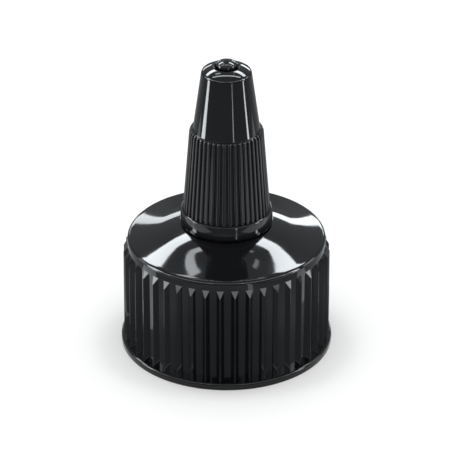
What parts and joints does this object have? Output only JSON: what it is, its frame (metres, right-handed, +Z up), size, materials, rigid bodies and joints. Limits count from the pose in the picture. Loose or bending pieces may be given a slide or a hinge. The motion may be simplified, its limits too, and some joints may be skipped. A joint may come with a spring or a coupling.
{
  "type": "dosing cap",
  "caption": "Screw-on dispensing closure with a ridged skirt, sloped deck and a ribbed twist-open nozzle that rises to uncover its outlet.",
  "frame": {"origin": "centre of the bottom ring, on the plane that it stands on", "axes": "+Z up along the closure's axis, from the bottom ring to the outlet; a grip ridge and a rib lie on +X"},
  "size_m": [0.032, 0.032, 0.0466],
  "materials": {
    "screw_cap": "gloss, as moulded",
    "twist_tip": "gloss, as moulded"
  },
  "bodies": {
    "screw_cap": {"screw_cap": "screw_cap"},
    "twist_tip": {"twist_tip": "twist_tip"}
  },
  "joints": [
    {"name": "tip_rise", "type": "slide", "parent": "screw_cap", "child": "twist_tip", "axis": [0, 0, 1], "range_m": [0, 0.003]}
  ]
}
